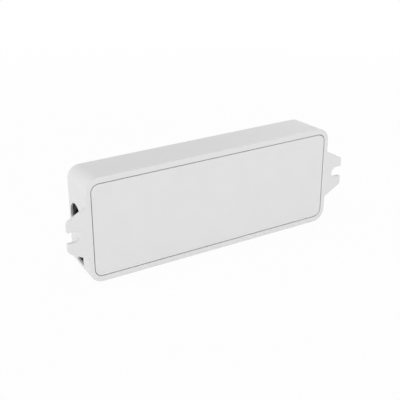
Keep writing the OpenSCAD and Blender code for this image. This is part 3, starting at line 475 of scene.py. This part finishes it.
def makeButton(form):
    low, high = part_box("button_cap")
    length = (high.y - low.y) / mm
    flangeTop = (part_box("housing_shell")[1].y - low.y) / mm - form["wall"] - form["wallGap"]
    flangeFoot = flangeTop - form["flangeHeight"]
    stemRim, flangeRim, rim = form["stemRim"], form["flangeRim"], form["rim"]
    profile = [[0, 0]] + quarter(form["stem"] - stemRim, stemRim, stemRim, -90, 0, steps=3)
    profile.append([form["stem"], flangeFoot])
    profile += quarter(form["flange"] - flangeRim, flangeFoot + flangeRim, flangeRim, -90, 0, steps=3)
    profile += quarter(form["flange"] - flangeRim, flangeTop - flangeRim, flangeRim, 0, 90, steps=3)
    profile.append([form["head"], flangeTop])
    profile += quarter(form["head"] - rim, length - rim, rim, 0, 90)
    for i in range(1, form["dishSteps"] + 1):
        radius = (form["head"] - rim - form["land"]) * (1 - i / form["dishSteps"])
        sunk = form["dish"] * math.cos(math.pi / 2 * radius / (form["head"] - rim))
        profile.append([radius, length - sunk])
    mesh = bmesh.new()
    turn(mesh, profile, footOf((low, high)), steps=72)
    settle(mesh, "pairingButtonCap", "button_plastic", "pairing_button", "button_cap")


# Capacitors: cans with a rolled bead and a scored vent, in sleeves that follow the bead
canForm = {"sleeve": 0.15, "bead": 0.42, "beadFoot": 1.0, "beadHeight": 1.2, "footRim": 0.15,
           "shoulder": 0.35, "fold": 0.6, "lip": 0.135, "ventReach": 0.62,
           "vent": {"width": 0.12, "depth": -0.18, "above": -0.3, "foot": 0.9}}


# Side of a can from its foot upwards, pressed in smoothly at the bead
def canSide(radius, form, steps=10):
    side = []
    for i in range(steps + 1):
        share = i / steps
        pressed = form["bead"] * (1 - math.cos(math.tau * share)) / 2
        side.append([radius - pressed, form["beadFoot"] + share * form["beadHeight"]])
    return side


def makeCan(node, name, form):
    low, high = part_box(node)
    radius, height = (high.x - low.x) / 2 / mm, (high.y - low.y) / mm
    rim = form["footRim"]
    profile = [[0, 0]] + quarter(radius - rim, rim, rim, -90, 0, steps=3) + canSide(radius, form)
    profile += quarter(radius - form["shoulder"], height - form["shoulder"], form["shoulder"], 0, 90)
    profile.append([0, height])
    mesh = bmesh.new()
    turn(mesh, profile, footOf((low, high)))
    top = footOf((low, high)) + Vector((0, high.y - low.y, 0))
    cutter = crossCutter([top], form["vent"] | {"reach": radius * form["ventReach"]})
    settle(mesh, name, "can_aluminium", "housing", node, cutter=cutter)


def makeSleeve(node, name, form):
    low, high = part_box(node)
    radius, height = (high.x - low.x) / 2 / mm, (high.y - low.y) / mm
    outer = [[radius, 0]] + canSide(radius, form)
    outer += quarter(radius - form["shoulder"], height - form["shoulder"], form["shoulder"], 0, 90)
    outer.append([radius - form["sleeve"] - form["fold"], height])
    inner = [[r - form["sleeve"], h - (form["sleeve"] if h > height / 2 else 0)] for r, h in outer[:-1]]
    inner.append([outer[-1][0], height - form["lip"]])
    mesh = bmesh.new()
    turn(mesh, outer + inner[::-1], footOf((low, high)), ring=True)
    settle(mesh, name, "capacitor_sleeve", "housing", node)


# Coil: one unbroken wire, wound in layers that climb and fall round the core
coilForm = {"wire": 0.2, "turns": 6, "layers": 2, "first": 1.78, "step": 0.46, "climb": 0.05}


# A ring of a wire that runs round the core, in the plane of the way outwards and the axis
def wireRing(mesh, centre, out, radius, sides=6):
    angles = [math.tau * i / sides for i in range(sides)]
    return [mesh.verts.new(centre + radius * (math.cos(a) * out + Vector((0, math.sin(a), 0))))
            for a in angles]


def makeWinding(form, stepsPerTurn=24):
    low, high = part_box("coil_winding")
    foot = footOf((low, high))
    run = (high.y - low.y) / mm - 2 * form["wire"]
    mesh = bmesh.new()
    rings = []
    total = form["turns"] * stepsPerTurn
    for layer in range(form["layers"]):
        last = layer == form["layers"] - 1
        for i in range(total + last):
            share = i / total
            height = form["wire"] + run * (share if layer % 2 == 0 else 1 - share)
            turned = math.tau * (layer * form["turns"] + i / stepsPerTurn)
            climbed = 0 if last else max(0, 1 - (1 - share) / form["climb"])
            radius = form["first"] + form["step"] * (layer + climbed)
            out = Vector((math.cos(turned), 0, math.sin(turned)))
            centre = foot + mm * (radius * out + Vector((0, height, 0)))
            rings.append(wireRing(mesh, centre, out, form["wire"] * mm))
    closeTube(mesh, rings)
    settle(mesh, "coilWire", "copper_wire", "housing", "coil_winding")


makeScrews(screwForm)
makeButton(buttonForm)
makeCan("input_capacitor", "inputCan", canForm)
makeCan("output_capacitor", "outputCan", canForm)
makeSleeve("input_sleeve", "inputCanSleeve", canForm)
makeSleeve("output_sleeve", "outputCanSleeve", canForm)
makeWinding(coilForm)
print("screws, button, capacitors and coil made")


# Solder round every lead that comes through the board, on the side that faces the base plate
solderForm = {"height": 0.95, "ring": 0.6, "rings": 9, "steps": 28, "hollow": 2.4, "thinnest": 0.1,
              "squareness": 0.42}


# One ring of a joint: round for a wire, nearly square for a flat lead
def solderRing(mesh, centre, half, height, power, steps):
    ring = []
    for i in range(steps):
        angle = math.tau * i / steps
        x, z = (side * math.copysign(abs(part) ** power, part)
                for side, part in zip(half, (math.cos(angle), math.sin(angle))))
        ring.append(mesh.verts.new(centre + Vector((x, -height, z))))
    return ring


# Where a lead or a land lies on the board, to a tenth of a millimetre
def placeOf(box, digits=4):
    return tuple(round(c, digits) for c in footOf(box).xz)


def makeSolder(form):
    mesh = bmesh.new()
    roundLeads = {placeOf(box) for name in ("capacitor_leads", "fuse_leads") for box in solidsOf(name)}
    for low, high in solidsOf("solder_lands"):
        centre = footOf((low, high))
        land = ((high.x - low.x) / 2, (high.z - low.z) / 2)
        power = 1 if placeOf((low, high)) in roundLeads else form["squareness"]
        rings = []
        for i in range(form["rings"]):
            share = i / (form["rings"] - 1)
            draw = (1 - share) ** form["hollow"]
            half = [max(side - form["ring"] * mm * (1 - draw), form["thinnest"] * mm) for side in land]
            rings.append(solderRing(mesh, centre, half, share * form["height"] * mm, power, form["steps"]))
        closeTube(mesh, rings)
    settle(mesh, "solderJoints", "tinned_copper", "housing")


makeSolder(solderForm)


# Tracks on the same side of the board: routes of [x, z] in millimetres from the middle of the board,
# with a via at the ends that are named
trackForm = {"height": 0.05, "rise": 0.003, "capSteps": 8, "mitreLimit": 0.5, "copperTint": 1.9}
boardLow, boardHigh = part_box("circuit_board")
boardMiddle = (boardLow.z + boardHigh.z) / 2
landPlaces = [(foot.x / mm, (foot.z - boardMiddle) / mm) for foot in map(footOf, solidsOf("solder_lands"))]
jackSide, jackSpring, *stripPins, jackTail = landPlaces[:7]
fuseLeads, inputLeads, outputLeads = landPlaces[7:9], landPlaces[9:11], landPlaces[11:13]
switchLow, switchHigh = landPlaces[13::2], landPlaces[14::2]
trackRoutes = [
    {"width": 2.2, "route": [jackTail, (-44.6, 1.2), fuseLeads[0]]},
    {"width": 2.0, "route": [fuseLeads[1], (-40.0, 8.0), (-36.5, 11.0), inputLeads[0]]},
    {"width": 1.6, "route": [inputLeads[0], (-36.6, 7.2), (-36.6, -2.2), (-38.9, -4.5), (-45.4, -4.5),
                             (-48.6, -7.7), stripPins[3]]},
    {"width": 1.2, "vias": (0,), "route": [(-31.8, -7.4), (-35.6, -11.2), (-47.2, -11.2), stripPins[2]]},
    {"width": 1.2, "vias": (0,), "route": [(-20.8, -7.4), (-26.2, -12.8), (-47.0, -12.8), (-48.4, -14.17),
                                           stripPins[1]]},
    {"width": 1.2, "vias": (0,), "route": [(-9.8, -7.4), (-16.8, -14.4), (-46.8, -14.4), (-49.1, -16.7),
                                           stripPins[0]]},
    {"width": 2.4, "route": [jackSpring, (-51.35, 9.5), (-48.0, 13.6), (-27.7, 13.6), (-16.0, 13.6)]},
    {"width": 1.2, "route": [jackSide, (-56.6, 8.6), (-53.0, 10.2), (-51.2, 10.2)]},
    {"width": 1.6, "route": [(-27.7, 13.6), inputLeads[1]]},
    {"width": 1.8, "route": [(-16.0, 13.6), (-13.4, 11.0), (-13.4, 2.9), outputLeads[0]]},
    {"width": 2.0, "vias": (-1,), "route": [(-16.0, 13.6), (-2.8, 13.6), (0.0, 16.4), (36.0, 16.4),
                                            (38.4, 14.0), (38.4, 10.0)]},
    {"width": 0.8, "vias": (-1,), "route": [outputLeads[1], (-4.0, 0.8), (1.6, 6.4), (26.0, 6.4), (30.4, 2.0),
                                            (33.4, 2.0)]},
    {"width": 0.8, "route": switchHigh},
    {"width": 0.8, "vias": (0,), "route": [(10.0, -3.15), *switchLow]},
    {"width": 0.4, "vias": (-1,), "route": [switchHigh[1], (27.0, 3.15), (29.65, 0.5), (33.4, 0.5)]},
]
# Signals from the module to the three drivers, side by side
signalForm = {"width": 0.4, "startX": 34, "startZ": (-2, -3, -4), "levels": (-4.6, -5.3, -6),
              "ends": (-5, -16, -27)}
for startZ, level, end in zip(signalForm["startZ"], signalForm["levels"], signalForm["ends"]):
    bendX = signalForm["startX"] - 1
    trackRoutes.append({"width": signalForm["width"], "vias": (0, -1), "route": [
        (signalForm["startX"], startZ), (bendX, startZ), (bendX - startZ + level, level), (end + 1, level),
        (end, level + 1)]})
viaForm = {"ring": 0.42, "hole": 0.2, "height": 0.12, "stitches": (
    (-55.5, -4), (-55.5, -1.5), (-30.5, 16.6), (-24.5, 16.6), (-18.5, 16.6), (-12.5, 16.6), (-6.5, 16.6),
    (4, 14.4), (10, 14.4), (16, 14.4), (22, 14.4), (28, 14.4), (44, -11.5), (47, -11.5), (44, 11.5),
    (47, 11.5))}


# A flat strip along a route, mitred at its bends and round at its ends
def addStrip(mesh, route, width, height):
    points = [Vector(p) * mm for p in route]
    ways = [(b - a).normalized() for a, b in zip(points, points[1:])]
    half = width * mm / 2
    sides = [[], []]
    for i, point in enumerate(points):
        before, after = ways[max(i - 1, 0)], ways[min(i, len(ways) - 1)]
        bend = (before + after).normalized()
        reach = half / max(bend.dot(after), trackForm["mitreLimit"])
        for side, sign in zip(sides, (1, -1)):
            side.append(point + sign * reach * Vector((-bend.y, bend.x)))

    def cap(centre, way):
        start = math.atan2(way.y, way.x) + math.pi / 2
        angles = [start - math.pi * k / trackForm["capSteps"] for k in range(1, trackForm["capSteps"])]
        return [centre + half * Vector((math.cos(a), math.sin(a))) for a in angles]

    outline = sides[0] + cap(points[-1], ways[-1]) + sides[1][::-1] + cap(points[0], -ways[0])
    addSlab(mesh, [(p.x, boardMiddle + p.y) for p in outline], boardLow.y - height * mm, boardLow.y)


# A slab between two depths, with an outline of (x, z) corners
def addSlab(mesh, outline, nearY, farY):
    closeTube(mesh, [[mesh.verts.new((x, y, z)) for x, z in outline] for y in (nearY, farY)])


def makeTracks():
    mesh = bmesh.new()
    for order, track in enumerate(trackRoutes):
        addStrip(mesh, track["route"], track["width"], trackForm["height"] + order * trackForm["rise"])
    piece = settle(mesh, "boardTracks", "board_laminate", "housing", smooth=False)
    piece.data.materials[0] = trackFinish
    rings = bmesh.new()
    ends = [track["route"][end] for track in trackRoutes for end in track.get("vias", ())]
    for x, z in list(viaForm["stitches"]) + ends:
        foot = Vector((x * mm, boardLow.y - viaForm["height"] * mm, boardMiddle + z * mm))
        turn(rings, [[viaForm["hole"], 0], [viaForm["ring"], 0], [viaForm["ring"], viaForm["height"]],
                     [viaForm["hole"], viaForm["height"]]], foot, steps=20, ring=True)
    settle(rings, "boardVias", "tinned_copper", "housing")


# Copper under the mask reads as a lighter green
trackFinish = solderMask("maskOverCopper", shade(recordColour["board_laminate"], trackForm["copperTint"]))
makeTracks()
print("solder, tracks and vias made")


# Half holes along the module's edges, each plated and with a pad over it
padForm = {"inset": 0.8, "pitch": 2.0, "count": 8, "pad": 1.1, "width": 1.2, "hole": 0.45, "holeSteps": 10,
           "plate": 0.05}


# A pad's outline, as (across, inwards) in millimetres from the edge: a half hole, then the three outer sides
def padOutline(form):
    angles = [math.pi * k / form["holeSteps"] for k in range(form["holeSteps"] + 1)]
    hole = [(form["hole"] * math.cos(a), form["hole"] * math.sin(a)) for a in angles]
    half = form["width"] / 2
    return hole + [(-half, 0), (-half, form["pad"]), (half, form["pad"]), (half, 0)]


def makePads(form):
    low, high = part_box("wifi_board")
    mesh = bmesh.new()
    for i in range(form["count"]):
        x = low.x + (form["inset"] + form["pitch"] * (i + 0.5)) * mm
        for edgeZ, way in ((low.z, 1), (high.z, -1)):
            outline = [(x + across * mm, edgeZ + way * inwards * mm) for across, inwards in padOutline(form)]
            for nearY in (low.y - form["plate"] * mm, high.y):
                addSlab(mesh, outline, nearY, nearY + form["plate"] * mm)
    settle(mesh, "modulePads", "gold_track", "housing", smooth=False)


makePads(padForm)
print("module pads made")


# Camera: at the photograph's viewing angle
cameraView = {"turn": 31.209, "tilt": 24.024, "roll": 0.085, "lens": 74.2,
              "place": (-0.18165, -0.29609, 0.17570)}
camera = bpy.data.objects.new("camera", bpy.data.cameras.new("camera"))
bpy.context.scene.collection.objects.link(camera)
camera.data.lens = cameraView["lens"]
camera.data.clip_start = 10 * mm
camera.matrix_world = (
    Matrix.Translation(cameraView["place"])
    @ Matrix.Rotation(-math.radians(cameraView["turn"]), 4, "Z")
    @ Matrix.Rotation(math.radians(90 - cameraView["tilt"]), 4, "X")
    @ Matrix.Rotation(-math.radians(cameraView["roll"]), 4, "Z"))
bpy.context.scene.camera = camera


# Light: a pale room, soft lamps from the front and the left, and weaker ones from above and behind
room = {"ambient": 0.74, "lamps": {
    "front": {"from": (0.1, -2.3, 0.04), "size": 0.8, "power": 22.5},
    "left": {"from": (-2.2, 0.9, 0.04), "size": 0.8, "power": 25},
    "above": {"from": (-0.8, 0.3, 2.4), "size": 0.8, "power": 4.6},
    "back": {"from": (1.9, 1.9, 0.1), "size": 1.0, "power": 4.5},
}}
lookAt = (Vector(cadBox[0]) + Vector(cadBox[1])) / 2
for lampName, lamp in room["lamps"].items():
    light = bpy.data.lights.new(lampName, "AREA")
    light.shape = "DISK"
    light.size = lamp["size"]
    light.energy = lamp["power"]
    holder = bpy.data.objects.new(lampName, light)
    bpy.context.scene.collection.objects.link(holder)
    holder.location = lamp["from"]
    holder.rotation_euler = (lookAt - Vector(lamp["from"])).to_track_quat("-Z", "Y").to_euler()


# Rays that see the room as plain white: those of the camera, of gloss and of clear pieces
def whiteRays(graph):
    total = graph.node("ShaderNodeLightPath", out="Is Camera Ray")
    for name in ("Is Glossy Ray", "Is Transmission Ray"):
        total = total.maths("MAXIMUM", total, graph.node("ShaderNodeLightPath", out=name))
    return total


world = bpy.data.worlds.new("room")
world.use_nodes = True
bpy.context.scene.world = world
roomGraph = Graph(world.node_tree)
background = world.node_tree.nodes["Background"]
roomGraph.feed(background.inputs["Color"], (1, 1, 1, 1))
roomGraph.feed(background.inputs["Strength"], room["ambient"] + (1 - room["ambient"]) * whiteRays(roomGraph))


# Floor: pale, white to the camera, and with a faint shadow round the piece that stands on it
floorView = {"reach": 6, "colour": (0.9, 0.9, 0.9, 1), "white": 0.94, "shadowReach": 0.45, "drop": 0.02}


def layFloor():
    floorFinish = Finish("floor", Roughness=0.9, Base_Color=floorView["colour"])
    tree = floorFinish.tree
    place = floorFinish.node("ShaderNodeNewGeometry", out="Position")
    distance = floorFinish.node("ShaderNodeVectorMath", {"operation": "LENGTH"}, {0: place}, out="Value")
    away = floorFinish.node("ShaderNodeMapRange", {}, {
        "Value": distance, "From Min": floorView["shadowReach"] / 2, "From Max": floorView["shadowReach"],
        "To Min": floorView["white"], "To Max": 1})
    share = away * whiteRays(floorFinish)
    glow = floorFinish.node("ShaderNodeEmission", {}, {"Color": (1, 1, 1, 1), "Strength": 1})
    seen = floorFinish.node("ShaderNodeMixShader", {}, {
        0: share, 1: Wire(floorFinish, floorFinish.shader.outputs[0]), 2: glow})
    # From below, the camera looks through the floor
    fromBelow = floorFinish.node("ShaderNodeNewGeometry", out="Backfacing")
    cameraRay = floorFinish.node("ShaderNodeLightPath", out="Is Camera Ray")
    clear = floorFinish.node("ShaderNodeBsdfTransparent")
    mixed = floorFinish.node("ShaderNodeMixShader", {}, {0: fromBelow * cameraRay, 1: seen, 2: clear})
    tree.links.new(mixed.socket, tree.nodes["Material Output"].inputs["Surface"])
    mesh = bmesh.new()
    bmesh.ops.create_grid(mesh, x_segments=1, y_segments=1, size=floorView["reach"])
    data = bpy.data.meshes.new("floor")
    mesh.to_mesh(data)
    mesh.free()
    data.materials.append(floorFinish.material)
    floor = bpy.data.objects.new("floor", data)
    floor.location.z = cadBox[0][2] - floorView["drop"] * mm
    bpy.context.scene.collection.objects.link(floor)


layFloor()
bpy.context.scene.view_settings.view_transform = "Standard"
print("camera, light and floor set")
